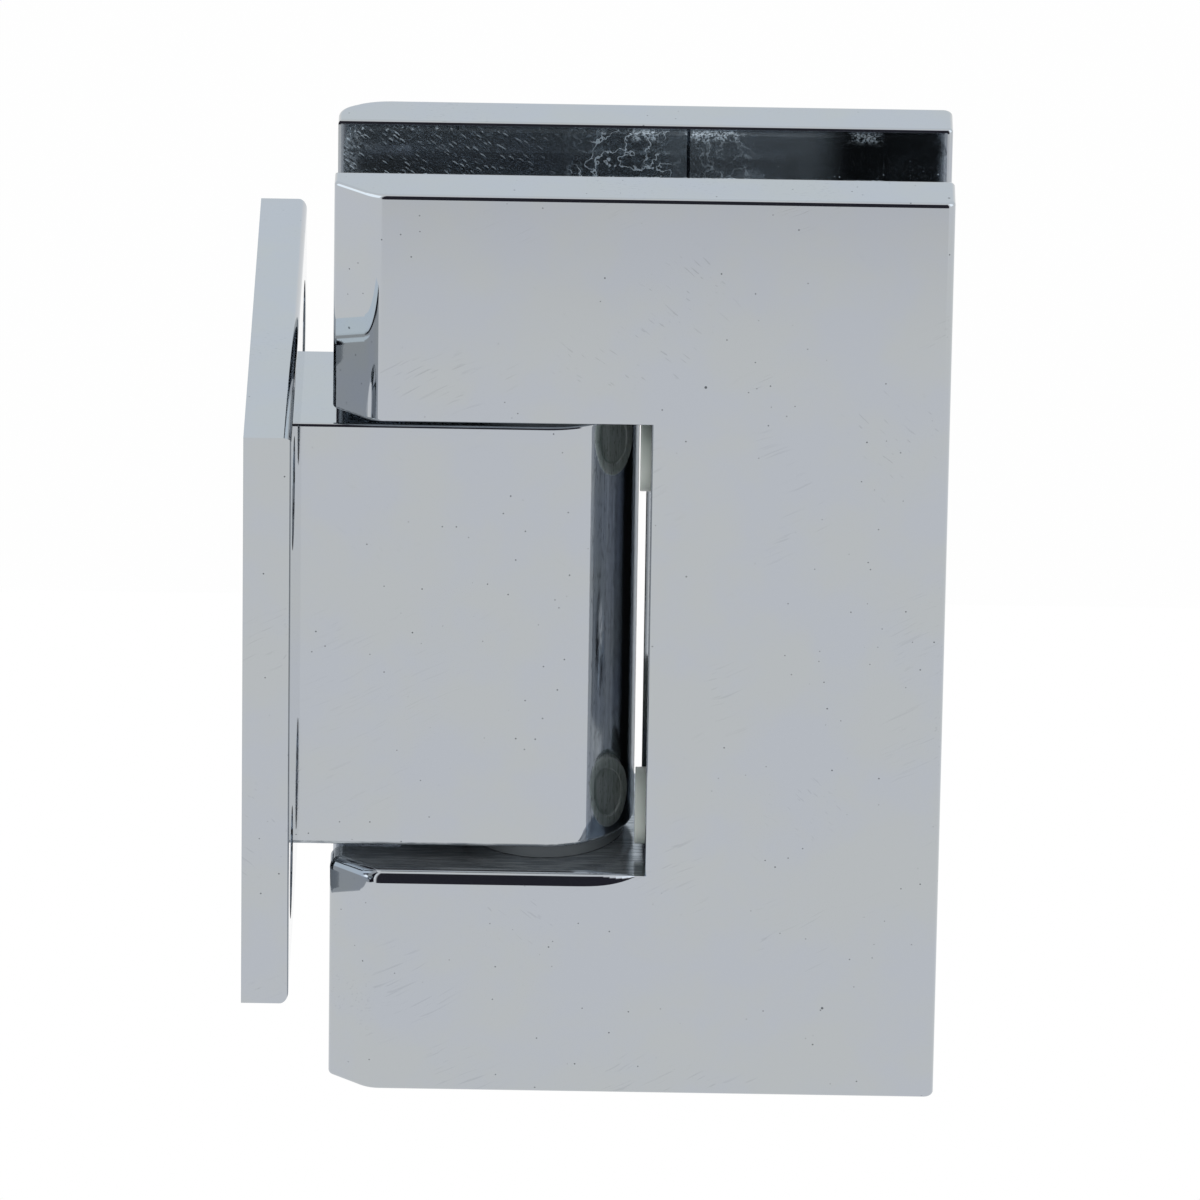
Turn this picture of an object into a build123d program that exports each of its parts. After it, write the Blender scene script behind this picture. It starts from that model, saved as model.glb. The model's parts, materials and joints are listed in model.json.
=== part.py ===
"""Wall-to-glass shower door hinge, modelled in millimetres.

The origin is the middle of the wall plate's back face. +X points from the wall into the room, +Y to the
rear of the door and +Z up, along the pivot pin. The door is at rest in its closed position.
"""

import math
import os

from build123d import *

# Wall plate
PLATE_THICK = 4.3
PLATE_DEPTH = 55.4  # along Y
PLATE_HEIGHT = 56.4  # along Z
PLATE_EDGE = 0.8  # rounding of the room-side rim
WALL_HOLE_Y = 18.0  # half spacing of the wall screw holes
WALL_HOLE_Z = 18.5
WALL_HOLE_R = 2.6
WALL_HEAD_R = 5.2

# Knuckle and pivot
PIN_X = 27.2
PIN_R = 4.0
PIN_HALF = 34.0
RUNNING = 0.03  # radial clearance of the pin in its bushes
SEAT = 0.02  # radial clearance of parts pushed or screwed into a bore
HEAD_LAND = 0.4  # straight rim of a countersink
HEAD_SINK = 0.1  # how far a screw's head lies below the face around it
KNUCKLE_R = 8.4  # half thickness, and radius of the round nose
KNUCKLE_HALF = 21.2
KNUCKLE_EDGE = 0.3
BUSH_R = 5.5
BUSH_SLEEVE = 5.6
FLANGE_R = 7.5
FLANGE_THICK = 1.4
DETENT_Z = 5.6  # height of each detent above or below the middle
DETENT_R = 4.0
DETENT_FLAT = 0.8  # depth of the pin's detent flat
DETENT_FLAT_HALF = 11.0
PAD_LONG = 6.0
DETENT_SCREW_LONG = 7.0
KNUCKLE_SCREW_Z = 14.6
KNUCKLE_SCREW_R = 2.5
KNUCKLE_HEAD_R = 5.0
KNUCKLE_SCREW_LONG = 15.0

# Glass clamp
CLAMP_LEFT = 7.6
CLAMP_RIGHT = 63.8
CLAMP_HALF = 45.0
NOTCH_X = 36.7  # wall of the front plate's notch, beside the knuckle
REAR_NOTCH_X = 36.3
NOTCH_HALF = 22.65
FRONT_FACE = -11.1
FRONT_INNER = -5.6
REAR_INNER = 6.4
REAR_FACE = 11.5
BEVEL_RUN = 3.7  # bevel on the front plate's upright corner beside the wall, along the show face
BEVEL_DEEP = 3.0
BEVEL_FACE_R = 3.0  # its blend into the show face
BEVEL_SIDE_R = 0.8  # its blend into the plate's side
CORNER_R = 6.0  # arc of the rear plate's upright corner beside the wall
CORNER_RUN = 4.8  # distance from the plate's side to where that arc meets the show face
CORNER_DEEP = CORNER_R - math.sqrt(CORNER_R**2 - CORNER_RUN**2)
CORNER_BLEND_R = 2.5  # rounding where the arc meets the side
OUTER_EDGE_R = 0.9  # upright show edge away from the wall
INNER_EDGE_R = 0.5
RIM_R = 0.4  # rounding of the top and bottom rims
NOTCH_RIM_R = 0.3
SHELF_RIM_R = 1.15  # rounding of the edge under the knuckle
SHELF_TAPER_X = 30.0  # from here it narrows towards the notch wall
SHELF_TAPER_LONG = 5.8
SHELF_TAPER_STEPS = 10
SHELF_END_R = 0.1

# Spine and pivot blocks between the two clamp plates
SPINE_WIDE = 12.0
SPINE_HALF = 36.5
SPINE_BACK = 6.3
SPINE_EDGE_R = 1.0
BLOCK_LEFT = 14.1
BLOCK_LET_IN = 2.2  # how far a block is let into the front plate
BLOCK_BACK = 6.3
BLOCK_SCREW_X = 6.2  # either side of the pin
BLOCK_SCREW_Z = 32.2
BLOCK_SCREW_R = 1.5
BLOCK_HEAD_R = 2.8
BLOCK_SCREW_LONG = 14.6
PIN_SCREW_Z = 26.4
PIN_SCREW_R = 2.5
PIN_FLAT = 0.5
CLAMP_SCREW_X = PIN_X + 15.7
CLAMP_SCREW_Z = 29.5
CLAMP_SCREW_R = 3.0
CLAMP_HEAD_R = 6.0
CLAMP_SCREW_LONG = 14.0

# Bumpers on the notch wall
BUMPER_R = 3.55
BUMPER_Y = -6.0
BUMPER_Z = 17.8
BUMPER_PROUD = 1.0
BUMPER_DEEP = 3.5
BUMPER_EDGE = 0.15
DISH_R = 2.4
DISH_DEEP = 0.3

# Clear gaskets that hold the glass
GASKET_THICK = 1.0
GASKET_EDGE = 0.5  # how far a gasket stops short of the plate's edge
GASKET_CORNER_R = 2.0
GLASS_CUTOUT_HALF = 37.5
GLASS_CUTOUT_X = 50.0
GASKET_SEAM_X = 39.8
SEAM_GAP = 0.3

ENDS = {"upper": 1, "lower": -1}
NEAR = 0.01  # places closer than this are the same place
OVER = 1.0  # how far a cutting shape reaches past the face it cuts


def box(x, y, z):
    """A block between the pairs of limits x, y and z."""
    size = [high - low for low, high in (x, y, z)]
    middle = [(high + low) / 2 for low, high in (x, y, z)]
    return Pos(*middle) * Box(*size)


def rod(start, direction, radius, length):
    """A round bar from start, of the given radius and length, along direction."""
    place = Plane(origin=start, z_dir=direction)
    return place * extrude(Circle(radius), length)


def cone(start, direction, near_radius, far_radius, length):
    place = Plane(origin=start, z_dir=direction)
    return place * Cone(near_radius, far_radius, length, align=(Align.CENTER, Align.CENTER, Align.MIN))


def hex_socket(start, direction, across_flats, depth):
    place = Plane(origin=start, z_dir=direction)
    return place * extrude(RegularPolygon(across_flats / 2, 6, major_radius=False), depth)


def beyond(start, direction, distance):
    """The point at a distance from start along direction."""
    return Vector(*start) + Vector(*direction) * distance


def countersunk_hole(start, direction, radius, head_radius, length):
    """The space that a countersunk screw takes: start is the middle of its head's face."""
    taper_start = beyond(start, direction, HEAD_LAND)
    rim = rod(start, direction, head_radius, HEAD_LAND)
    taper = cone(taper_start, direction, head_radius, radius, head_radius - radius)
    return rim + taper + rod(start, direction, radius, length)


def countersunk_screw(start, direction, radius, head_radius, length, across_flats):
    """A countersunk socket screw, sunk just below the face of its hole at start."""
    top = beyond(start, direction, HEAD_SINK)
    taper_start = beyond(start, direction, HEAD_LAND)
    screw = rod(top, direction, head_radius, HEAD_LAND - HEAD_SINK)
    screw += cone(taper_start, direction, head_radius, radius, head_radius - radius)
    screw += rod(top, direction, radius, length)
    return screw - hex_socket(top, direction, across_flats, across_flats * 0.55)


def set_screw(start, direction, radius, length, across_flats):
    """A headless socket screw with its socket at start."""
    body = rod(start, direction, radius, length)
    return body - hex_socket(start, direction, across_flats, length * 0.45)


def upright_edges(solid, x, y):
    """The edges along Z that stand at x, y."""
    return [
        edge
        for edge in solid.edges().filter_by(Axis.Z)
        if abs(edge.center().X - x) < NEAR and abs(edge.center().Y - y) < NEAR
    ]


# ---- wall mount ----


def wall_plate():
    plate = box(
        (0, PLATE_THICK),
        (-PLATE_DEPTH / 2, PLATE_DEPTH / 2),
        (-PLATE_HEIGHT / 2, PLATE_HEIGHT / 2),
    )
    plate = fillet(plate.faces().sort_by(Axis.X)[-1].edges(), PLATE_EDGE)
    for y in (-WALL_HOLE_Y, WALL_HOLE_Y):
        for z in (-WALL_HOLE_Z, WALL_HOLE_Z):
            plate -= countersunk_hole(
                (PLATE_THICK, y, z), (-1, 0, 0), WALL_HOLE_R, WALL_HEAD_R, PLATE_THICK
            )
    for side in ENDS.values():
        plate -= countersunk_hole(
            (0, 0, side * KNUCKLE_SCREW_Z),
            (1, 0, 0),
            KNUCKLE_SCREW_R + SEAT,
            KNUCKLE_HEAD_R + SEAT,
            PLATE_THICK,
        )
    return plate


def knuckle():
    """Flat-sided barrel that carries the pin, with a half-round nose."""
    with BuildSketch() as outline:
        with Locations(((PLATE_THICK + PIN_X) / 2, 0)):
            Rectangle(PIN_X - PLATE_THICK, 2 * KNUCKLE_R)
        with Locations((PIN_X, 0)):
            Circle(KNUCKLE_R)
    body = Pos(0, 0, -KNUCKLE_HALF) * extrude(outline.sketch, 2 * KNUCKLE_HALF)
    rims = body.faces().filter_by(Axis.Z).edges()
    body = fillet([edge for edge in rims if edge.center().X > PLATE_THICK + NEAR], KNUCKLE_EDGE)
    body -= rod((PIN_X, 0, -KNUCKLE_HALF), (0, 0, 1), PIN_R + 0.3, 2 * KNUCKLE_HALF)
    for side in ENDS.values():
        body -= rod(
            (PIN_X, 0, side * KNUCKLE_HALF), (0, 0, -side), BUSH_R + SEAT, BUSH_SLEEVE + 0.2
        )
        body -= rod(
            (PLATE_THICK, 0, side * DETENT_Z), (1, 0, 0), DETENT_R, PIN_X - PLATE_THICK
        )
        body -= rod(
            (PLATE_THICK, 0, side * KNUCKLE_SCREW_Z),
            (1, 0, 0),
            KNUCKLE_SCREW_R + SEAT,
            KNUCKLE_SCREW_LONG - PLATE_THICK + 1,
        )
    return body


def knuckle_screw(side):
    return countersunk_screw(
        (0, 0, side * KNUCKLE_SCREW_Z),
        (1, 0, 0),
        KNUCKLE_SCREW_R,
        KNUCKLE_HEAD_R,
        KNUCKLE_SCREW_LONG,
        3.0,
    )


def flanged_bush(side):
    """Nylon sleeve in the knuckle with the thrust washer that parts knuckle and clamp."""
    top = side * KNUCKLE_HALF
    bush = rod((PIN_X, 0, top), (0, 0, side), FLANGE_R, FLANGE_THICK)
    bush += rod((PIN_X, 0, top), (0, 0, -side), BUSH_R, BUSH_SLEEVE)
    return bush - rod(
        (PIN_X, 0, top + side * FLANGE_THICK),
        (0, 0, -side),
        PIN_R + RUNNING,
        FLANGE_THICK + BUSH_SLEEVE,
    )


def detent_pad(side):
    """Springy plug that presses on the pin's flat and holds the door shut."""
    face = PIN_X - PIN_R + DETENT_FLAT
    return rod((face - PAD_LONG, 0, side * DETENT_Z), (1, 0, 0), DETENT_R - SEAT, PAD_LONG)


def detent_screw(side):
    """Headless screw behind the pad: it sets how firmly the door is held."""
    end = PIN_X - PIN_R + DETENT_FLAT - PAD_LONG
    return set_screw(
        (end - DETENT_SCREW_LONG, 0, side * DETENT_Z),
        (1, 0, 0),
        DETENT_R - SEAT,
        DETENT_SCREW_LONG,
        4.0,
    )


# ---- glass clamp ----


def pivot_pin():
    pin = rod((PIN_X, 0, -PIN_HALF), (0, 0, 1), PIN_R, 2 * PIN_HALF)
    pin = chamfer(pin.edges().filter_by(GeomType.CIRCLE), 0.6)
    beside_pin = PIN_X - 2 * PIN_R
    flat_x = PIN_X - PIN_R + DETENT_FLAT
    pin -= box((beside_pin, flat_x), (-PIN_R, PIN_R), (-DETENT_FLAT_HALF, DETENT_FLAT_HALF))
    for side in ENDS.values():
        flat_z = sorted((side * (NOTCH_HALF + 0.4), side * (PIN_HALF + 1)))
        pin -= box((beside_pin, PIN_X - PIN_R + PIN_FLAT), (-PIN_R, PIN_R), flat_z)
    return pin


def arched_corner(plate, outer):
    """A curved upright corner beside the wall."""
    outward = 1 if outer > 0 else -1
    on_face = (CLAMP_LEFT + CORNER_RUN, outer)
    on_side = (CLAMP_LEFT, outer - outward * CORNER_DEEP)
    with BuildSketch() as section:
        with BuildLine():
            TangentArc(on_face, on_side, tangent=(-1, 0))
            Polyline(
                on_side,
                (CLAMP_LEFT - OVER, on_side[1]),
                (CLAMP_LEFT - OVER, outer + outward),
                (on_face[0], outer + outward),
                on_face,
            )
        make_face()
    plate -= Pos(0, 0, -CLAMP_HALF) * extrude(section.sketch, 2 * CLAMP_HALF)
    return fillet(upright_edges(plate, *on_side), CORNER_BLEND_R)


def bevelled_corner(plate, outer):
    """A bevelled upright corner beside the wall, blended into the faces on both sides."""
    outward = 1 if outer > 0 else -1
    on_face = (CLAMP_LEFT + BEVEL_RUN, outer)
    on_side = (CLAMP_LEFT, outer - outward * BEVEL_DEEP)
    with BuildSketch() as section:
        with BuildLine():
            Polyline(on_face, on_side, (CLAMP_LEFT, outer), on_face)
        make_face()
    plate -= Pos(0, 0, -CLAMP_HALF) * extrude(section.sketch, 2 * CLAMP_HALF)
    plate = fillet(upright_edges(plate, *on_face), BEVEL_FACE_R)
    return fillet(upright_edges(plate, *on_side), BEVEL_SIDE_R)


def clamp_plate(inner, outer, wall_corner):
    """A clamp plate between its inner and outer faces, with its edges rounded and no notch yet."""
    plate = box((CLAMP_LEFT, CLAMP_RIGHT), sorted((inner, outer)), (-CLAMP_HALF, CLAMP_HALF))
    plate = wall_corner(plate, outer)
    plate = fillet(upright_edges(plate, CLAMP_RIGHT, outer), OUTER_EDGE_R)
    plate = fillet(upright_edges(plate, CLAMP_RIGHT, inner), INNER_EDGE_R)
    return fillet(plate.faces().filter_by(Axis.Z).edges(), RIM_R)


def notch(inner, outer, to_x):
    """The space for the knuckle, which makes a plate C-shaped."""
    y = (min(inner, outer) - OVER, max(inner, outer) + OVER)
    return box((CLAMP_LEFT - OVER, to_x), y, (-NOTCH_HALF, NOTCH_HALF))


def notch_rim(plate, inner, z, from_x, to_x):
    """A notch's edges at height z and between the limits in X, all but those on the inner face."""
    return [
        edge
        for edge in plate.edges()
        if edge.bounding_box().size.Z < NEAR
        and abs(edge.center().Z - z) < NEAR
        and abs(edge.center().Y - inner) > NEAR
        and from_x < edge.center().X < to_x - NEAR
    ]


def shelf_section(share):
    """Section, at a share of the taper, of what the rounded edge under the knuckle takes off."""
    x = SHELF_TAPER_X + share * SHELF_TAPER_LONG
    radius = SHELF_RIM_R - (SHELF_RIM_R - SHELF_END_R) * share**3
    y, z = FRONT_FACE, -NOTCH_HALF
    with BuildSketch(Plane(origin=(x, 0, 0), x_dir=(0, 1, 0), z_dir=(1, 0, 0))) as section:
        with BuildLine():
            CenterArc((y + radius, z - radius), radius, 90, 90)
            Polyline(
                (y, z - radius),
                (y - OVER, z - radius),
                (y - OVER, z + OVER),
                (y + radius, z + OVER),
                (y + radius, z),
            )
        make_face()
    return section.sketch


def front_plate():
    """Front plate with the spine that carries the clamp screws and wraps into the glass cut-out."""
    left = CLAMP_LEFT - OVER
    plate = clamp_plate(FRONT_INNER, FRONT_FACE, bevelled_corner)
    plate -= notch(FRONT_INNER, FRONT_FACE, SHELF_TAPER_X)
    shelf = notch_rim(plate, FRONT_INNER, -NOTCH_HALF, left, SHELF_TAPER_X)
    plate = fillet(shelf, SHELF_RIM_R)
    plate -= notch(FRONT_INNER, FRONT_FACE, NOTCH_X)
    shares = [step / SHELF_TAPER_STEPS for step in range(SHELF_TAPER_STEPS + 1)]
    plate -= loft([shelf_section(share) for share in shares], ruled=True)
    rim = notch_rim(plate, FRONT_INNER, NOTCH_HALF, left, NOTCH_X)
    rim += upright_edges(plate, NOTCH_X, FRONT_FACE)
    plate = fillet(rim, NOTCH_RIM_R)
    spine = box(
        (NOTCH_X, NOTCH_X + SPINE_WIDE), (FRONT_INNER, SPINE_BACK), (-SPINE_HALF, SPINE_HALF)
    )
    plate += fillet(upright_edges(spine, NOTCH_X + SPINE_WIDE, SPINE_BACK), SPINE_EDGE_R)
    for side in ENDS.values():
        plate -= box(
            (BLOCK_LEFT, NOTCH_X),
            (FRONT_INNER - BLOCK_LET_IN, FRONT_INNER),
            sorted((side * NOTCH_HALF, side * SPINE_HALF)),
        )
        for x in (-BLOCK_SCREW_X, BLOCK_SCREW_X):
            plate -= rod(
                (PIN_X + x, FRONT_INNER, side * BLOCK_SCREW_Z),
                (0, -1, 0),
                BLOCK_SCREW_R + SEAT,
                BLOCK_SCREW_LONG - (BLOCK_BACK - FRONT_INNER) + 0.6,
            )
        plate -= rod(
            (CLAMP_SCREW_X, SPINE_BACK, side * CLAMP_SCREW_Z),
            (0, -1, 0),
            CLAMP_SCREW_R + SEAT,
            CLAMP_SCREW_LONG,
        )
        plate -= rod(
            (NOTCH_X, BUMPER_Y, side * BUMPER_Z), (1, 0, 0), BUMPER_R + SEAT, BUMPER_DEEP
        )
    return plate


def rear_plate():
    plate = clamp_plate(REAR_INNER, REAR_FACE, arched_corner)
    plate -= notch(REAR_INNER, REAR_FACE, REAR_NOTCH_X)
    rim = upright_edges(plate, REAR_NOTCH_X, REAR_FACE)
    for side in ENDS.values():
        rim += notch_rim(plate, REAR_INNER, side * NOTCH_HALF, CLAMP_LEFT - OVER, REAR_NOTCH_X)
    plate = fillet(rim, NOTCH_RIM_R)
    for side in ENDS.values():
        plate -= countersunk_hole(
            (CLAMP_SCREW_X, REAR_FACE, side * CLAMP_SCREW_Z),
            (0, -1, 0),
            CLAMP_SCREW_R + 0.2,
            CLAMP_HEAD_R + SEAT,
            REAR_FACE - REAR_INNER,
        )
    return plate


def clamp_screw(side):
    return countersunk_screw(
        (CLAMP_SCREW_X, REAR_FACE, side * CLAMP_SCREW_Z),
        (0, -1, 0),
        CLAMP_SCREW_R,
        CLAMP_HEAD_R,
        CLAMP_SCREW_LONG,
        4.0,
    )


def pivot_block(side):
    """Block in each arm of the clamp. It holds one end of the pin and passes the load to the plate."""
    block = box(
        (BLOCK_LEFT, NOTCH_X),
        (FRONT_INNER - BLOCK_LET_IN, BLOCK_BACK),
        sorted((side * NOTCH_HALF, side * SPINE_HALF)),
    )
    block -= rod(
        (PIN_X, 0, side * NOTCH_HALF), (0, 0, side), PIN_R + SEAT, PIN_HALF - NOTCH_HALF + 0.3
    )
    block -= rod(
        (BLOCK_LEFT, 0, side * PIN_SCREW_Z), (1, 0, 0), PIN_SCREW_R + SEAT, PIN_X - BLOCK_LEFT
    )
    for x in (-BLOCK_SCREW_X, BLOCK_SCREW_X):
        block -= countersunk_hole(
            (PIN_X + x, BLOCK_BACK, side * BLOCK_SCREW_Z),
            (0, -1, 0),
            BLOCK_SCREW_R + SEAT,
            BLOCK_HEAD_R + SEAT,
            BLOCK_BACK - FRONT_INNER + BLOCK_LET_IN,
        )
    return block


def block_screw(side, offset):
    return countersunk_screw(
        (PIN_X + offset, BLOCK_BACK, side * BLOCK_SCREW_Z),
        (0, -1, 0),
        BLOCK_SCREW_R,
        BLOCK_HEAD_R,
        BLOCK_SCREW_LONG,
        2.0,
    )


def pin_set_screw(side):
    """Headless screw that bites on the flat at the pin's end, so the pin turns with the door."""
    flat_x = PIN_X - PIN_R + PIN_FLAT
    start_x = BLOCK_LEFT + 0.4
    return set_screw(
        (start_x, 0, side * PIN_SCREW_Z), (1, 0, 0), PIN_SCREW_R, flat_x - start_x, 2.5
    )


def bumper(side):
    """Dished plug in the notch wall, which meets the knuckle when the door is fully open."""
    start = NOTCH_X - BUMPER_PROUD
    plug = rod(
        (start, BUMPER_Y, side * BUMPER_Z), (1, 0, 0), BUMPER_R, BUMPER_PROUD + BUMPER_DEEP
    )
    plug = chamfer(plug.faces().sort_by(Axis.X)[0].edges(), BUMPER_EDGE)
    return plug - rod((start, BUMPER_Y, side * BUMPER_Z), (1, 0, 0), DISH_R, DISH_DEEP)


def gasket_strip(x, z, round_corners):
    """The outline of a flat gasket between limits x and z, with the named corners rounded."""
    strip = Pos(sum(x) / 2, sum(z) / 2) * Rectangle(x[1] - x[0], z[1] - z[0])
    corners = [strip.vertices().sort_by_distance((*place, 0))[0] for place in round_corners]
    return fillet(corners, GASKET_CORNER_R)


def gasket(part, face, direction):
    """A clear gasket on the inner face of a plate. direction is where its thickness goes along Y."""
    top = CLAMP_HALF - GASKET_EDGE
    left = CLAMP_LEFT + GASKET_EDGE
    right = CLAMP_RIGHT - GASKET_EDGE
    if part == "side":
        corners = [(right, top), (right, -top)]
        flat = gasket_strip((GASKET_SEAM_X, right), (-top, top), corners)
        cutout_wide = GLASS_CUTOUT_X - GASKET_SEAM_X
        flat -= Pos(GASKET_SEAM_X + cutout_wide / 2, 0) * Rectangle(
            cutout_wide, 2 * GLASS_CUTOUT_HALF
        )
    else:
        side = ENDS[part]
        z = sorted((side * GLASS_CUTOUT_HALF, side * top))
        corners = [(left, side * top)]
        flat = gasket_strip((left, GASKET_SEAM_X - SEAM_GAP), z, corners)
    across = Plane(origin=(0, face, 0), x_dir=(1, 0, 0), z_dir=(0, -1, 0))
    return across * extrude(flat, -direction * GASKET_THICK)


# ---- every piece, written out under its own name ----

pieces = {"wall_plate": wall_plate(), "knuckle": knuckle()}
pieces["pivot_pin"] = pivot_pin()
pieces["front_plate"] = front_plate()
pieces["rear_plate"] = rear_plate()

for end, side in ENDS.items():
    pieces[f"knuckle_screw_{end}"] = knuckle_screw(side)
    pieces[f"flanged_bush_{end}"] = flanged_bush(side)
    pieces[f"detent_pad_{end}"] = detent_pad(side)
    pieces[f"detent_screw_{end}"] = detent_screw(side)
    pieces[f"pivot_block_{end}"] = pivot_block(side)
    pieces[f"pin_set_screw_{end}"] = pin_set_screw(side)
    pieces[f"block_screw_{end}_left"] = block_screw(side, -BLOCK_SCREW_X)
    pieces[f"block_screw_{end}_right"] = block_screw(side, BLOCK_SCREW_X)
    pieces[f"clamp_screw_{end}"] = clamp_screw(side)
    pieces[f"bumper_{end}"] = bumper(side)

for part in ("upper", "lower", "side"):
    pieces[f"front_gasket_{part}"] = gasket(part, FRONT_INNER, 1)
    pieces[f"rear_gasket_{part}"] = gasket(part, REAR_INNER, -1)

os.makedirs("parts", exist_ok=True)
for name, piece in pieces.items():
    export_step(piece, f"parts/{name}.step")
    print(name, round(piece.volume, 1), "mm3")
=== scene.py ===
import json
import math

import bmesh
import bpy
from mathutils import Matrix, Vector


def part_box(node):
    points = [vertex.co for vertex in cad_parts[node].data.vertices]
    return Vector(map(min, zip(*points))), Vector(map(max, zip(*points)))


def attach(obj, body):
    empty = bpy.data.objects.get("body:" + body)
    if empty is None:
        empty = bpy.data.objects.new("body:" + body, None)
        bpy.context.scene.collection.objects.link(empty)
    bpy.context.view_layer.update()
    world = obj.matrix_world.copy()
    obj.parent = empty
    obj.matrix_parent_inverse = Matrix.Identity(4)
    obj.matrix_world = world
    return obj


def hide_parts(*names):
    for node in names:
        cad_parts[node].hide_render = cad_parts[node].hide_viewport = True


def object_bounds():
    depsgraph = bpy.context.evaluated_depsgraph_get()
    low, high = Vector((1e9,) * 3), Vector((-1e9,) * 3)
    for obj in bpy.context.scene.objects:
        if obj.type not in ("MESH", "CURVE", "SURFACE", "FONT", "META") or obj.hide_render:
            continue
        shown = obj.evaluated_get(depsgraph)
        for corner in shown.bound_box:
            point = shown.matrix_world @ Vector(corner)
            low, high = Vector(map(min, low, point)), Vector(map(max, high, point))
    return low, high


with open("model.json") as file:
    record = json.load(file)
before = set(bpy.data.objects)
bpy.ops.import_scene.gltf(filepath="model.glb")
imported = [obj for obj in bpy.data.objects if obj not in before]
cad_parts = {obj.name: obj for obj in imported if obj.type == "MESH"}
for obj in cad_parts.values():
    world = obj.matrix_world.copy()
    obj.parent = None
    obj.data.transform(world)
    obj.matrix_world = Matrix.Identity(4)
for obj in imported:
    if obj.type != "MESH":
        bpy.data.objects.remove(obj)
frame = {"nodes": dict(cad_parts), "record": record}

mm = 0.001
tiny = 0.001 * mm  # no distance, as far as any shape here goes
cadLow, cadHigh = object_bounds()
nodes = frame["nodes"]
bothEnds = ("upper", "lower")

# places that several pieces share, all from the frame
pinLow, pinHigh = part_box("pivot_pin")
blockLow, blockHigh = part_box("pivot_block_upper")
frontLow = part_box("front_plate")[0]
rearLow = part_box("rear_plate")[0]
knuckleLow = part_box("knuckle")[0]
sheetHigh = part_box("rear_gasket_side")[1]
pinX = (pinLow.x + pinHigh.x) / 2
notchX = blockHigh.x
notchHalf = blockLow.z
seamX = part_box("rear_gasket_upper")[1].x
rearNotchX = notchX - 0.4 * mm  # the rear plate's notch ends a little short of the front one's

def deselectAll():
    bpy.ops.object.select_all(action="DESELECT")

def makeActive(piece):
    deselectAll()
    piece.select_set(True)
    bpy.context.view_layer.objects.active = piece

def addRod(name, start, end, radius, endRadius=None, sides=96):
    # a round bar, or a taper if endRadius is given
    deselectAll()
    start, end = Vector(start), Vector(end)
    along = end - start
    bpy.ops.mesh.primitive_cone_add(
        vertices=sides,
        radius1=radius,
        radius2=radius if endRadius is None else endRadius,
        depth=along.length,
        location=(start + end) / 2,
        rotation=along.to_track_quat("Z", "Y").to_euler(),
    )
    rod = bpy.context.object
    rod.name = name
    bpy.ops.object.transform_apply(location=True, rotation=True, scale=True)
    return rod

def combine(piece, other, operation):
    # cuts other out of piece, or joins it on, and removes other
    makeActive(piece)
    modifier = piece.modifiers.new("combine", "BOOLEAN")
    modifier.operation = operation
    modifier.solver = "EXACT"
    modifier.object = other
    bpy.ops.object.modifier_apply(modifier=modifier.name)
    bpy.data.objects.remove(other)

def roundEdges(piece, wanted, radius, segments):
    # wanted gets an edge's two ends and says whether it is rounded
    makeActive(piece)
    bpy.ops.object.mode_set(mode="EDIT")
    bpy.ops.mesh.select_mode(type="EDGE")
    bpy.ops.mesh.select_all(action="DESELECT")
    mesh = bmesh.from_edit_mesh(piece.data)
    for edge in mesh.edges:
        if wanted(edge.verts[0].co, edge.verts[1].co):
            edge.select_set(True)
    bmesh.update_edit_mesh(piece.data)
    bpy.ops.mesh.bevel(
        offset=radius, segments=segments, profile=0.5, affect="EDGES", clamp_overlap=False
    )
    bpy.ops.mesh.select_all(action="SELECT")
    bpy.ops.mesh.remove_doubles(threshold=tiny)
    bpy.ops.mesh.normals_make_consistent(inside=False)
    bpy.ops.object.mode_set(mode="OBJECT")

def evenShading(piece):
    # smooth over the rounded edges, crisp at the cut ones, with the flats kept flat
    makeActive(piece)
    bpy.ops.object.shade_smooth_by_angle(angle=math.radians(28))
    even = piece.modifiers.new("even shading", "WEIGHTED_NORMAL")
    even.mode = "FACE_AREA"
    even.weight = 100
    even.keep_sharp = True
    bpy.ops.object.modifier_apply(modifier=even.name)

def dress(piece, body, finish, replaced):
    piece.data.materials.clear()
    piece.data.materials.append(finish)
    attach(piece, body)
    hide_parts(replaced)

class Wire:
    # a node's output that Python's own operators work on
    def __init__(self, graph, socket):
        self.graph = graph
        self.socket = socket

    def maths(self, operation, first, second):
        return self.graph.node("ShaderNodeMath", {"operation": operation}, {0: first, 1: second})

    def __add__(self, other):
        return self.maths("ADD", self, other)

    def __sub__(self, other):
        return self.maths("SUBTRACT", self, other)

    def __rsub__(self, other):
        return self.maths("SUBTRACT", other, self)

    def __mul__(self, other):
        return self.maths("MULTIPLY", self, other)

    def __gt__(self, other):
        return self.maths("GREATER_THAN", self, other)

    def __abs__(self):
        return self.maths("ABSOLUTE", self, 0.0)

    __radd__ = __add__
    __rmul__ = __mul__

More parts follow.
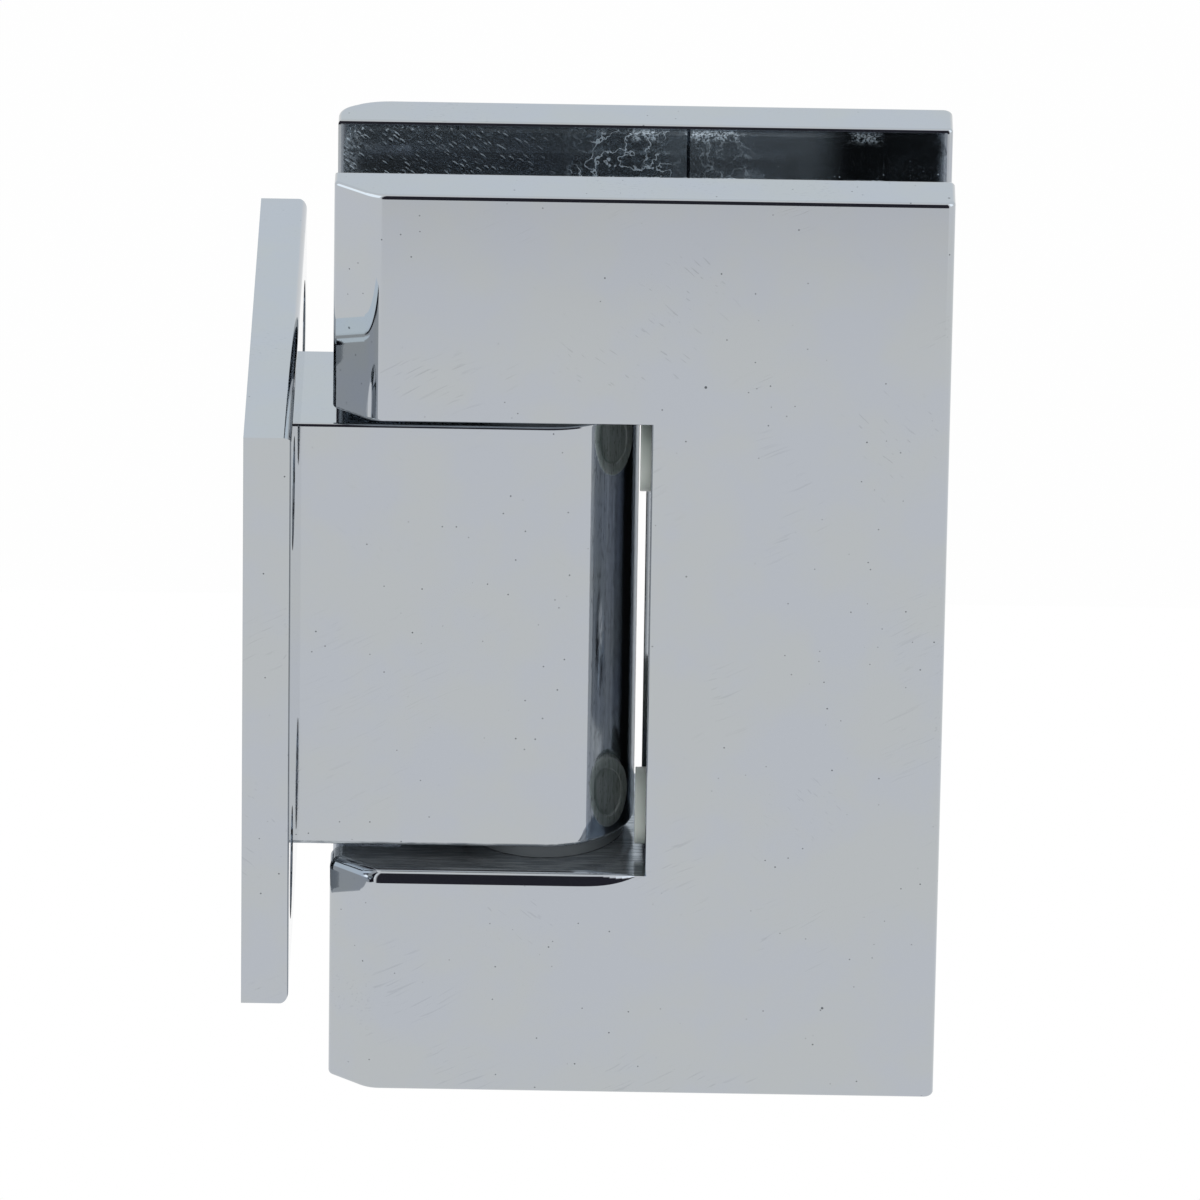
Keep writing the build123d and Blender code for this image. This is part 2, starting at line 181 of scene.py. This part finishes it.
class Graph:
    def __init__(self, tree):
        self.tree = tree
        tree.nodes.clear()

    def node(self, kind, settings=None, inputs=None, output=0):
        made = self.tree.nodes.new(kind)
        for key, value in (settings or {}).items():
            setattr(made, key, value)
        for key, value in (inputs or {}).items():
            if isinstance(value, Wire):
                self.tree.links.new(value.socket, made.inputs[key])
            else:
                made.inputs[key].default_value = value
        return Wire(self, made.outputs[output]) if made.outputs else None

    def spot(self):
        return self.node("ShaderNodeTexCoord", output="Object")

    def along(self, axis, vector=None):
        return self.node("ShaderNodeSeparateXYZ", inputs={0: vector or self.spot()}, output=axis)

    def place(self, sizes, turn=(0, 0, 0), shift=(0, 0, 0), vector=None):
        # a pattern's coordinates: sizes are how long its features are along its own turned axes
        return self.node(
            "ShaderNodeMapping",
            {"vector_type": "TEXTURE"},
            {"Vector": vector or self.spot(), "Location": shift, "Rotation": turn, "Scale": sizes},
        )

    def noise(self, size, detail=2.0, roughness=0.5, vector=None, output=0):
        return self.node(
            "ShaderNodeTexNoise",
            inputs={
                "Vector": vector or self.spot(),
                "Scale": 1 / size,
                "Detail": detail,
                "Roughness": roughness,
            },
            output=output,
        )

    def stretched(self, sizes, detail=2.0, roughness=0.6, turn=(0, 0, 0), shift=(0, 0, 0), vector=None):
        # noise with features of another size along each of its own turned axes
        return self.noise(1.0, detail, roughness, self.place(sizes, turn, shift, vector))

    def warped(self, size, reach):
        # object coordinates that wander by up to reach
        sway = self.noise(size, 2.0, 0.5, output="Color")
        return self.node(
            "ShaderNodeVectorMath",
            {"operation": "MULTIPLY_ADD"},
            {0: sway, 1: (2 * reach,) * 3, 2: self.spot()},
        )

    def ramp(self, value, low, high, toLow=0.0, toHigh=1.0):
        # a soft step: value at low gives toLow, at high toHigh
        return self.node(
            "ShaderNodeMapRange",
            {"interpolation_type": "SMOOTHSTEP"},
            {0: value, 1: low, 2: high, 3: toLow, 4: toHigh},
        )

    def rampBy(self, value, place, offsets, toLow=0.0, toHigh=1.0):
        # a soft step that starts and ends at these distances from a place
        return self.ramp(value, place + offsets[0], place + offsets[1], toLow, toHigh)

    def window(self, value, low, high, soft):
        # 1 between low and high, with soft sides
        return self.ramp(value, low - soft, low) * self.ramp(value, high + soft, high)

    def windowBy(self, value, place, offsets, soft):
        return self.window(value, place + offsets[0], place + offsets[1], soft)

    def clamp(self, value):
        return self.node("ShaderNodeClamp", inputs={0: value})

    def blend(self, factor, first, second):
        return self.node(
            "ShaderNodeMix",
            {"data_type": "RGBA", "clamp_factor": True},
            {"Factor": factor, 6: first, 7: second},
            output=2,
        )

    def bump(self, height, distance, strength=1.0):
        return self.node(
            "ShaderNodeBump", inputs={"Height": height, "Distance": distance, "Strength": strength}
        )

    def principled(self, inputs):
        self.surface(self.node("ShaderNodeBsdfPrincipled", inputs=inputs))

    def surface(self, shader):
        self.node("ShaderNodeOutputMaterial", inputs={"Surface": shader})

def newFinish(name):
    material = bpy.data.materials.new(name)
    material.use_nodes = True
    return material, Graph(material.node_tree)

def dots(graph, cell, radius, share, vector=None):
    # round pits of about this radius with a soft rim, in a share of the cells
    settings = {"feature": "F1"}
    inputs = {"Vector": vector or graph.spot(), "Scale": 1 / cell, "Randomness": 1.0}
    distance = graph.node("ShaderNodeTexVoronoi", settings, inputs, output="Distance")
    colour = graph.node("ShaderNodeTexVoronoi", settings, inputs, output="Color")
    chance = graph.node("ShaderNodeSeparateColor", inputs={0: colour}, output=0)
    size = radius / cell
    return graph.ramp(distance, size * 1.2, size * 0.7) * (chance > 1 - share)

pitLook = {
    "colour": (0.05, 0.06, 0.07, 1),
    "share": 0.8,
    "fineCell": 1.3 * mm,
    "fine": 0.075 * mm,
    "wideCell": 5.0 * mm,
    "wide": 0.13 * mm,
    "patch": 12 * mm,
    "patchStep": (0.40, 0.56),
}

def pits(graph):
    # fine pits that keep to patches, wide ones anywhere, and the noise behind the patches
    look = pitLook
    patch = graph.noise(look["patch"], 2.0, 0.6)
    fine = dots(graph, look["fineCell"], look["fine"], look["share"])
    wide = dots(graph, look["wideCell"], look["wide"], look["share"])
    return fine * graph.ramp(patch, *look["patchStep"]), wide, patch

hairlineLook = {
    "size": (5.0 * mm, 0.2 * mm, 0.2 * mm),
    "sway": (9 * mm, 0.8 * mm),
    "rising": {"turn": (0.1, math.radians(-27), 0), "shift": (0, 0, 0), "step": (0.62, 0.72)},
    "falling": {"turn": (0, math.radians(40), 0.2), "shift": (0.02, 0.03, 0.01), "step": (0.68, 0.76)},
    "patch": 15 * mm,
    "patchShift": (0.031, 0, 0.044),
    "risingPatch": (0.54, 0.64),
    "fallingPatch": (0.42, 0.34),
}

def hairlines(graph):
    # thin polishing marks, a little bent, that rise in some patches and fall in others
    look = hairlineLook
    patch = graph.noise(look["patch"], 2.0, 0.5, graph.place((1, 1, 1), shift=look["patchShift"]))
    kinds = []
    for kind in ("rising", "falling"):
        way = look[kind]
        bent = graph.warped(*look["sway"])
        streaks = graph.stretched(look["size"], 1.0, 0.4, way["turn"], way["shift"], bent)
        kinds.append(graph.ramp(streaks, *way["step"]) * graph.ramp(patch, *look[f"{kind}Patch"]))
    return kinds[0] + kinds[1]

milledLook = {
    "colour": (0.42, 0.46, 0.49, 1),
    "shade": (0.17, 0.20, 0.23, 1),
    "shadeStep": (0.40, 0.60),
    "cut": (3 * mm, 0.22 * mm, 40 * mm),
    "sideWall": (0.25 * mm, 0.125 * mm),
    "arms": (0.075 * mm, 0.025 * mm),
    "offWallPlate": (-0.2 * mm, -0.1 * mm),
    "offFrontFace": (-0.1 * mm, -0.4 * mm),
    "underside": (0.4 * mm, 0.3 * mm),
    "clearOfSideWall": (0, -0.3 * mm),
    "onSideWall": 0.1,
}

def milledShare(graph, onKnuckle):
    # the notch's faces are milled and not polished, and so is the knuckle's underside
    look = milledLook
    x, y, z = (graph.along(axis) for axis in "XYZ")
    if onKnuckle:
        share = graph.rampBy(z, knuckleLow.z, look["underside"])
    else:
        share = graph.rampBy(x, notchX, look["sideWall"])
        share = share * graph.rampBy(abs(z), notchHalf, look["arms"])
        share = share * graph.rampBy(x, frontLow.x, look["offWallPlate"])
        share = share * graph.rampBy(0 - y, -frontLow.y, look["offFrontFace"])
    return share * graph.rampBy(x, notchX, look["clearOfSideWall"], look["onSideWall"])

burrLook = {
    "colour": (0.01, 0.01, 0.012, 1),
    "grain": 0.35 * mm,
    "wide": 0.14 * mm,
    "outerEdge": (0.03 * mm, 0),
    "innerEdge": (-1.0 * mm, -0.5 * mm),
    "depth": (-0.2 * mm, 0.3 * mm),
    "depthSoft": 0.1 * mm,
    "ends": (0, -0.1 * mm),
}

def burrShare(graph):
    # a ragged burr along the side wall of the rear plate's notch
    look = burrLook
    x, y, z = (graph.along(axis) for axis in "XYZ")
    ragged = look["wide"] * graph.noise(look["grain"], 3.0, 0.7)
    share = graph.rampBy(x + ragged, rearNotchX + look["wide"], look["outerEdge"])
    share = share * graph.windowBy(y, rearLow.y, look["depth"], look["depthSoft"])
    share = share * graph.rampBy(x, rearNotchX, look["innerEdge"])
    return share * graph.rampBy(abs(z), notchHalf, look["ends"])

noseLook = {
    "lines": (0.25 * mm, 0.25 * mm, 30 * mm),
    "lineStep": (0.42, 0.60),
    "rings": (3 * mm, 3 * mm, 0.2 * mm),
    "nicks": (0.15 * mm, 0.15 * mm, 0.9 * mm),
    "nickStep": (0.54, 0.66),
    "start": (4.0 * mm, 4.3 * mm),
    "shade": 0.4,
    "roughness": 0.06,
}

def noseMarks(graph):
    # fine upright lines and nicks on the knuckle's nose: their darkness, height and place
    look = noseLook
    lines = graph.stretched(look["lines"])
    rings = graph.stretched(look["rings"], 1.0, 0.5)
    nicks = graph.ramp(graph.stretched(look["nicks"]), *look["nickStep"])
    nicks = nicks + 0.5 * graph.ramp(lines, *look["lineStep"])
    nose = graph.rampBy(graph.along("X"), pinX, look["start"])
    return nicks * nose, nose * (lines + 0.5 * rings + nicks), nose

chromeLook = {
    "coolTint": (0.452, 0.480, 0.522, 1),
    "plainTint": (0.462, 0.486, 0.502, 1),
    "tintPatch": 9 * mm,
    "tintStep": (0.35, 0.65),
    "finePitShade": 0.8,
    "widePitShade": 0.75,
    "hairlineShade": 0.10,
    "roughness": 0.03,
    "patchRoughness": 0.02,
    "dirtRoughness": 0.2,
    "milledRoughness": 0.12,
    "milledCover": 0.8,
    "milledDull": 0.3,
    "wave": 9 * mm,
    "hairlineDepth": 0.15,
    "widePitDepth": 0.5,
    "milledDepth": 1.5,
    "relief": 0.004 * mm,
    "reliefStrength": 0.6,
}

def chromeFinish(name, hairlineShare=1.0, noseShare=0.0):
    # noseShare is above 0 on the knuckle only
    look = chromeLook
    material, graph = newFinish(name)
    patches = graph.ramp(graph.noise(look["tintPatch"], 3.0, 0.6), *look["tintStep"])
    clean = graph.blend(patches, look["coolTint"], look["plainTint"])
    finePits, widePits, pitPatch = pits(graph)
    lines = hairlines(graph)
    dirt = graph.clamp(
        look["finePitShade"] * finePits
        + look["widePitShade"] * widePits
        + look["hairlineShade"] * hairlineShare * lines
    )
    colour = graph.blend(dirt, clean, pitLook["colour"])
    roughness = look["roughness"] + look["patchRoughness"] * pitPatch + look["dirtRoughness"] * dirt
    relief = graph.noise(look["wave"], 1.0, 0.4)
    relief = relief - look["hairlineDepth"] * lines - look["widePitDepth"] * widePits

    milled = milledShare(graph, noseShare > 0)
    cuts = graph.stretched(milledLook["cut"], 3.0)
    cutShade = graph.ramp(cuts, *milledLook["shadeStep"])
    bare = graph.blend(cutShade, milledLook["colour"], milledLook["shade"])
    colour = graph.blend(look["milledCover"] * milled, colour, bare)
    roughness = roughness + look["milledRoughness"] * milled
    relief = relief + look["milledDepth"] * milled * cuts

    colour = graph.blend(burrShare(graph), colour, burrLook["colour"])
    if noseShare > 0:
        marks, height, nose = noseMarks(graph)
        colour = graph.blend(noseLook["shade"] * marks, colour, pitLook["colour"])
        roughness = roughness + noseLook["roughness"] * noseShare * nose
        relief = relief + noseShare * height
    graph.principled(
        {
            "Base Color": colour,
            "Metallic": 1 - look["milledDull"] * milled,
            "Roughness": roughness,
            "Normal": graph.bump(relief, look["relief"], look["reliefStrength"]),
        }
    )
    return material

# finishes made of a fine grain and wide clouds: the roughness is its least and what the grain,
# or the clouds if cloudy is set, add to it, and the relief is its depth and strength
plainLook = {
    "stainless": {
        "name": "stainless steel",
        "grain": (0.25 * mm, 3.0, 0.6),
        "cloud": 3 * mm,
        "colours": ((0.40, 0.40, 0.40, 1), (0.52, 0.52, 0.525, 1)),
        "roughness": (0.16, 0.14),
        "cloudy": True,
        "relief": (0.01 * mm, 0.5),
        "more": {"Metallic": 1.0},
    },
    "nylon": {
        "name": "grey nylon",
        "grain": (0.3 * mm, 4.0, 0.6),
        "cloud": 4 * mm,
        "colours": ((0.105, 0.12, 0.13, 1), (0.14, 0.155, 0.165, 1)),
        "roughness": (0.36, 0.12),
        "cloudy": False,
        "relief": (0.02 * mm, 0.5),
        "more": {},
    },
    "silicone": {
        "name": "translucent silicone",
        "grain": (0.5 * mm, 3.0, 0.5),
        "cloud": 2.5 * mm,
        "colours": ((0.36, 0.40, 0.37, 1), (0.44, 0.47, 0.44, 1)),
        "roughness": (0.28, 0.1),
        "cloudy": False,
        "relief": (0.02 * mm, 0.4),
        "more": {
            "Subsurface Weight": 0.9,
            "Subsurface Radius": (0.9, 1.0, 0.95),
            "Subsurface Scale": 3.5 * mm,
        },
    },
    "polyurethane": {
        "name": "amber polyurethane",
        "grain": (0.4 * mm, 3.0, 0.5),
        "cloud": 2 * mm,
        "colours": ((0.33, 0.17, 0.03, 1), (0.45, 0.25, 0.06, 1)),
        "roughness": (0.3, 0.1),
        "cloudy": False,
        "relief": (0.02 * mm, 0.4),
        "more": {},
    },
}

def plainFinish(slot):
    look = plainLook[slot]
    material, graph = newFinish(look["name"])
    grain = graph.noise(*look["grain"])
    cloud = graph.noise(look["cloud"])
    least, added = look["roughness"]
    inputs = {
        "Base Color": graph.blend(cloud, *look["colours"]),
        "Roughness": least + added * (cloud if look["cloudy"] else grain),
        "Normal": graph.bump(grain, *look["relief"]),
    }
    graph.principled({**inputs, **look["more"]})
    return material

# steps and spans along the sheet are distances from its seam or its right end
sheetLook = {
    "colour": (0.46, 0.55, 0.63, 1),
    "roughness": 0.25,
    "relief": 0.08 * mm,
    "reliefStrength": 0.7,
    "patch": 4 * mm,
    "fine": 0.25 * mm,
    "sway": (0.9 * mm, 0.05 * mm),
    "wrinkle": (0.95 * mm, mm, 0.34 * mm),
    "wrinkleTurn": (0, math.radians(40), 0),
    "wrinkleFlank": 0.07 * mm,
    "wrinkleRadius": 0.34,
    "wrinkleShare": 0.7,
    "wrinkleFade": (0.85, 0.2),
    "wrinklePatch": (0.34, 0.50),
    "air": 1.7 * mm,
    "airLine": (0.022, 0.010),
    "airBefore": (-9.5 * mm, -2.5 * mm),
    "airBeyond": (0.5 * mm, 5 * mm),
    "airBeyondShare": 0.4,
    "airSoft": 2 * mm,
    "airPatch": (0.34, 0.42),
    "wander": 0.8 * mm,
    "crumbWander": 0.7 * mm,
    "crumbEdge": (-0.5 * mm, 0.2 * mm),
    "crumbBefore": ((-4.8 * mm, -2.7 * mm), 0.5 * mm),
    "crumbBeyond": ((0.2 * mm, 4.3 * mm), 0.6 * mm),
    "crumbRight": ((-8.5 * mm, -6.5 * mm), 0.8 * mm),
    "crumbRightShare": 0.5,
    "crumbStep": (0.44, 0.58),
    "loose": 0.9 * mm,
    "looseStep": (0.40, 0.52),
    "fleckCell": 0.9 * mm,
    "fleck": 0.07 * mm,
    "fleckShare": 0.8,
    "fleckStart": 0.5,
    "fleckPatch": (0.46, 0.56),
    "gritStep": (0.63, 0.72),
    "gritPatch": (0.52, 0.60),
    "leftEnd": (1.6 * mm, -0.2 * mm),
    "leftWander": 1.8 * mm,
    "rightEnd": (-0.5 * mm, 0.1 * mm),
    "rightWander": 0.6 * mm,
    "rightShare": 0.5,
    "crumpleStep": (0.42, 0.60),
    "fold": (0.7 * mm, 0.7 * mm, 4 * mm),
    "foldStep": (0.56, 0.70),
    "foldSpan": ((-1.0 * mm, 5 * mm), mm),
    "film": 0.055,
    "filmRight": (-9 * mm, -14 * mm),
    "filmRightShare": 0.15,
    "filmSeam": ((-0.5 * mm, 11 * mm), 4 * mm),
}

# how strongly each kind of mark covers the sheet
sheetMarks = {
    "wrinklesAndPaintedHighlight": 0.6,
    "air": 0.7,
    "crumbs": 0.9,
    "flecks": 0.8,
    "grit": 0.6,
    "crumpleAndSheen": 0.3,
    "folds": 0.2,
}

def clearFinish():
    # soft clear sheet wetted to the metal: trapped air and dust show as pale marks, and the wrinkles and
    # crumpled ends carry painted light
    look = sheetLook
    material, graph = newFinish("clear soft sheet")
    x, height = graph.along("X"), abs(graph.along("Z"))
    patch = graph.noise(look["patch"], 2.0, 0.5)
    fine = graph.noise(look["fine"], 3.0, 0.7)
    wander = graph.noise(look["wander"], 2.0)
    bent = graph.warped(*look["sway"])
    left, right, top = rearLow.x, sheetHigh.x, sheetHigh.z
    width = seamX - left

    # short slanting wrinkles near the wall side, each with a painted highlight on one flank and painted
    # shade on the other, where the film is thinned
    flanks = []
    for shift in (look["wrinkleFlank"], -look["wrinkleFlank"]):
        spot = graph.place(look["wrinkle"], look["wrinkleTurn"], (0, 0, shift), bent)
        flanks.append(dots(graph, 1.0, look["wrinkleRadius"], look["wrinkleShare"], spot))
    fadeEnd, fadeStart = look["wrinkleFade"]
    wallSide = graph.ramp(x, left + fadeEnd * width, left + fadeStart * width)
    wallSide = wallSide * graph.ramp(patch, *look["wrinklePatch"])
    # the first flank is a painted highlight that also bumps the sheet; the second flank is painted shade
    wrinklesAndPaintedHighlight = graph.clamp(flanks[0] - flanks[1]) * wallSide
    paintedWrinkleShade = graph.clamp(flanks[1] - flanks[0]) * wallSide

    # outlines of trapped air, mostly before the seam
    contour = abs(graph.noise(look["air"], 3.0, 0.55) - 0.5)
    airX = graph.windowBy(x, seamX, look["airBefore"], look["airSoft"])
    airBeyond = graph.windowBy(x, seamX, look["airBeyond"], look["airSoft"])
    airX = airX + look["airBeyondShare"] * airBeyond
    air = graph.ramp(contour, *look["airLine"]) * airX * graph.ramp(patch, *look["airPatch"])

    # crumbs of dust along the top edge, and flecks and grit towards the far side
    topEdge = graph.rampBy(height + look["crumbWander"] * wander, top, look["crumbEdge"])
    crumbX = graph.windowBy(x, seamX, *look["crumbBefore"])
    crumbX = crumbX + graph.windowBy(x, seamX, *look["crumbBeyond"])
    crumbX = crumbX + look["crumbRightShare"] * graph.windowBy(x, right, *look["crumbRight"])
    loose = graph.ramp(graph.noise(look["loose"], 3.0, 0.7), *look["looseStep"])
    crumbs = topEdge * graph.ramp(fine, *look["crumbStep"]) * loose * crumbX
    flecks = dots(graph, look["fleckCell"], look["fleck"], look["fleckShare"])
    flecks = flecks * graph.ramp(x, left + look["fleckStart"] * width, right)
    flecks = flecks * graph.ramp(patch, *look["fleckPatch"])
    grit = graph.ramp(fine, *look["gritStep"]) * graph.ramp(patch, *look["gritPatch"])
    grit = grit * graph.ramp(x, seamX, right)

    # crumpled ends: bumped, with pale marks that are a painted sheen of the light they scatter
    leftEnd = graph.rampBy(x - look["leftWander"] * patch, left, look["leftEnd"])
    rightEnd = graph.rampBy(x + look["rightWander"] * wander, right, look["rightEnd"])
    crumpleAndSheen = (leftEnd + rightEnd * look["rightShare"]) * graph.ramp(fine, *look["crumpleStep"])

    # upright folds by the seam, and the sheet's own faint grey, strongest by the seam
    smear = graph.stretched(look["fold"], vector=bent)
    folds = graph.ramp(smear, *look["foldStep"]) * graph.windowBy(x, seamX, *look["foldSpan"])
    haze = graph.rampBy(x, right, look["filmRight"], look["filmRightShare"])
    haze = haze + graph.windowBy(x, seamX, *look["filmSeam"])

    kinds = {
        "wrinklesAndPaintedHighlight": wrinklesAndPaintedHighlight,
        "air": air,
        "crumbs": crumbs,
        "flecks": flecks,
        "grit": grit,
        "crumpleAndSheen": crumpleAndSheen,
        "folds": folds,
    }
    marks = graph.clamp(sum(share * kinds[kind] for kind, share in sheetMarks.items()))
    graph.principled(
        {
            "Base Color": look["colour"],
            "Roughness": look["roughness"],
            # the alpha carries the painted wrinkle highlights and the painted sheen of the crumpled ends,
            # and is thinned by the painted wrinkle shade
            "Alpha": graph.clamp(look["film"] * haze * (1 - paintedWrinkleShade) + marks),
            "Normal": graph.bump(
                wrinklesAndPaintedHighlight + air + 0.5 * crumpleAndSheen + 0.5 * fine, look["relief"], look["reliefStrength"]
            ),
        }
    )
    return material

# the pieces that keep their own shape
slotFinish = {
    "chrome": chromeFinish("polished chrome"),
    "stainless": plainFinish("stainless"),
    "nylon": plainFinish("nylon"),
    "polyurethane": plainFinish("polyurethane"),
    "silicone": plainFinish("silicone"),
    "clear_pvc": clearFinish(),
}
knuckleFinish = chromeFinish("polished chrome on the knuckle", 0.3, 0.5)
print("finishes ready")

for subpart in frame["record"]["subparts"]:
    mesh = nodes[subpart["node"]].data
    mesh.materials.clear()
    mesh.materials.append(slotFinish[subpart["material_slot"]])
nodes["knuckle"].data.materials.clear()
nodes["knuckle"].data.materials.append(knuckleFinish)
print("solids finished")

screwForm = {
    "rim": 0.3 * mm,
    "brokenEdge": 0.12 * mm,
    "edgeSegments": 3,
    "socketShare": 0.55,
    "clamp": {"head": 6.0 * mm, "shank": 3.0 * mm, "flats": 4.0 * mm},
    "knuckle": {"head": 5.0 * mm, "shank": 2.5 * mm, "flats": 3.0 * mm},
}

def socketScrew(node, body, headAt, direction, size):
    # a countersunk screw: rim, taper, shank and a hexagon socket
    form = screwForm
    direction = Vector(direction)
    low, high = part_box(node)
    start = Vector(headAt)
    end = start + direction * abs((high - low).dot(direction))
    headEnd = start + direction * form["rim"]
    seatEnd = headEnd + direction * (size["head"] - size["shank"])
    screw = addRod(f"{node}_finished", start, headEnd, size["head"])
    taper = addRod("taper", headEnd - direction * tiny, seatEnd, size["head"], size["shank"])
    combine(screw, taper, "UNION")
    combine(screw, addRod("shank", headEnd, end, size["shank"]), "UNION")
    socketEnd = start + direction * size["flats"] * form["socketShare"]
    hexRadius = size["flats"] / math.sqrt(3)
    socket = addRod("socket", start - direction * mm, socketEnd, hexRadius, sides=6)
    combine(screw, socket, "DIFFERENCE")

    def onFace(a, b):
        return all(abs((point - start).dot(direction)) < tiny for point in (a, b))

    roundEdges(screw, onFace, form["brokenEdge"], form["edgeSegments"])
    evenShading(screw)
    dress(screw, body, slotFinish["stainless"], node)

def makeScrews():
    for end in bothEnds:
        node = f"clamp_screw_{end}"
        low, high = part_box(node)
        head = ((low.x + high.x) / 2, high.y, (low.z + high.z) / 2)
        socketScrew(node, "glass_clamp", head, (0, -1, 0), screwForm["clamp"])
        node = f"knuckle_screw_{end}"
        low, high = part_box(node)
        head = (low.x, 0, (low.z + high.z) / 2)
        socketScrew(node, "wall_mount", head, (1, 0, 0), screwForm["knuckle"])

bumperForm = {"lip": 0.12 * mm, "lipSegments": 4, "dish": 2.4 * mm, "deep": 0.3 * mm}

def makeBumpers():
    # a plug with a rounded lip and a shallow dish in its face
    form = bumperForm
    for end in bothEnds:
        node = f"bumper_{end}"
        low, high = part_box(node)
        y, z = (low.y + high.y) / 2, (low.z + high.z) / 2
        bumper = addRod(f"{node}_finished", (low.x, y, z), (high.x, y, z), (high.y - low.y) / 2)
        floorX = low.x + form["deep"]
        dish = addRod("dish", (low.x - mm, y, z), (floorX, y, z), form["dish"])
        combine(bumper, dish, "DIFFERENCE")

        def onFace(a, b):
            return all(abs(point.x - low.x) < 2 * tiny for point in (a, b))

        roundEdges(bumper, onFace, form["lip"], form["lipSegments"])
        evenShading(bumper)
        dress(bumper, "glass_clamp", slotFinish["silicone"], node)

makeScrews()
print("screws modelled")
makeBumpers()
print("bumpers modelled")

# directions: angles go round from the viewer's side, and a rise is the height of a unit direction
studioLook = {
    "white": (1, 1, 1, 1),
    "dark": (0.030, 0.029, 0.039, 1),
    "darkAround": (math.radians(-14), math.radians(38)),
    "darkLowRise": (-0.40, -0.34),
    "darkTopRise": (0.96, 0.92),
    "softbox": (1.65, 1.75, 1.82, 1),
    "softLeft": (math.radians(-95), math.radians(-26)),
    "softRight": (math.radians(62), math.radians(100)),
    "softRise": (0.2, 0.85),
    "riseSoft": 0.1,
    "angleSoft": math.radians(5),
    "sky": (0.93, 0.98, 1.02, 1),
    "skyRear": (0.2, 0.6),
    "skyRise": (0.1, 0.3),
    "floorWide": 3.0,
    "floorFront": -0.30,
    "floorBack": 1.5,
    "floorMatte": (0.9, 0.9, 0.9, 1),
    "floorGlow": 0.94,
    "brightSide": (0.060, 0.110),
    "brightFront": (0.02, 0.0),
    "brightBy": 0.6,
}

def rayIsDirect(graph):
    # camera, mirror and clear rays see the studio white
    seen = [
        graph.node("ShaderNodeLightPath", output=kind)
        for kind in ("Is Camera Ray", "Is Glossy Ray", "Is Transmission Ray")
    ]
    return graph.clamp(seen[0] + seen[1] + seen[2])

def makeWorld():
    look = studioLook
    world = bpy.data.worlds.new("studio")
    bpy.context.scene.world = world
    world.use_nodes = True
    graph = Graph(world.node_tree)
    direction = graph.node("ShaderNodeTexCoord", output="Generated")
    sideways, towardRear, rise = (graph.along(axis, direction) for axis in "XYZ")
    around = graph.node(
        "ShaderNodeMath", {"operation": "ARCTAN2"}, {0: sideways, 1: 0 - towardRear}
    )
    soft = look["angleSoft"]
    dark = graph.window(around, *look["darkAround"], soft)
    dark = dark * graph.ramp(rise, *look["darkLowRise"]) * graph.ramp(rise, *look["darkTopRise"])
    boxes = graph.window(around, *look["softLeft"], soft) + graph.window(around, *look["softRight"], soft)
    boxes = boxes * graph.window(rise, *look["softRise"], look["riseSoft"])
    rearSky = graph.ramp(towardRear, *look["skyRear"]) * graph.ramp(rise, *look["skyRise"])
    tinted = graph.blend(rearSky, look["white"], look["sky"])
    mirrored = graph.blend(dark, graph.blend(boxes, tinted, look["softbox"]), look["dark"])
    isCamera = graph.node("ShaderNodeLightPath", output="Is Camera Ray")
    isGlossy = graph.node("ShaderNodeLightPath", output="Is Glossy Ray")
    lit = graph.blend(isGlossy, look["white"], mirrored)
    colour = graph.blend(isCamera, lit, look["white"])
    background = graph.node("ShaderNodeBackground", inputs={"Color": colour, "Strength": 1.0})
    graph.node("ShaderNodeOutputWorld", inputs={"Surface": background})

def makeFloor():
    look = studioLook
    deselectAll()
    deep = look["floorBack"] - look["floorFront"]
    bpy.ops.mesh.primitive_plane_add(
        size=1,
        location=(pinX, look["floorFront"] + deep / 2, cadLow.z),
        scale=(look["floorWide"], deep, 1),
    )
    floor = bpy.context.object
    floor.name = "floor"
    bpy.ops.object.transform_apply(location=True, rotation=True, scale=True)
    material, graph = newFinish("pale floor")
    matte = graph.node("ShaderNodeBsdfDiffuse", inputs={"Color": look["floorMatte"]})
    # mirrored, the floor in front of the free side is as bright as the softbox over it
    bright = graph.node("ShaderNodeLightPath", output="Is Glossy Ray")
    bright = bright * graph.ramp(graph.along("X"), *look["brightSide"])
    bright = bright * graph.ramp(graph.along("Y"), *look["brightFront"])
    strength = 1 + look["brightBy"] * bright
    glow = graph.node("ShaderNodeEmission", inputs={"Color": look["white"], "Strength": strength})
    share = rayIsDirect(graph) * look["floorGlow"]
    graph.surface(graph.node("ShaderNodeMixShader", inputs={0: share, 1: matte, 2: glow}))
    floor.data.materials.append(material)

cameraPlace = {
    "distance": 1.358678,
    "azimuth": math.radians(0.101),
    "elevation": math.radians(24.373),
    "roll": math.radians(0.872),
    "across": 4.985 * mm,
    "rise": 0.108 * mm,
    "lens": 441.83,
    "sensor": 36,
    "nearest": 0.05,
    "farthest": 20,
}

def makeCamera():
    place = cameraPlace
    azimuth, elevation, roll = place["azimuth"], place["elevation"], place["roll"]
    back = Vector(
        (
            math.sin(azimuth) * math.cos(elevation),
            -math.cos(azimuth) * math.cos(elevation),
            math.sin(elevation),
        )
    )
    level = (-back).cross(Vector((0, 0, 1))).normalized()
    upright = level.cross(-back)
    right = level * math.cos(roll) + upright * math.sin(roll)
    up = upright * math.cos(roll) - level * math.sin(roll)
    target = Vector((pinX, 0, 0)) + right * place["across"] + up * place["rise"]
    data = bpy.data.cameras.new("camera")
    data.lens = place["lens"]
    data.sensor_width = place["sensor"]
    data.clip_start = place["nearest"]
    data.clip_end = place["farthest"]
    camera = bpy.data.objects.new("camera", data)
    bpy.context.scene.collection.objects.link(camera)
    turn = Matrix((right, up, back)).transposed().to_4x4()
    camera.matrix_world = Matrix.Translation(target + back * place["distance"]) @ turn
    bpy.context.scene.camera = camera

makeWorld()
makeFloor()
makeCamera()
bpy.context.scene.view_settings.view_transform = "Standard"
print("studio ready")
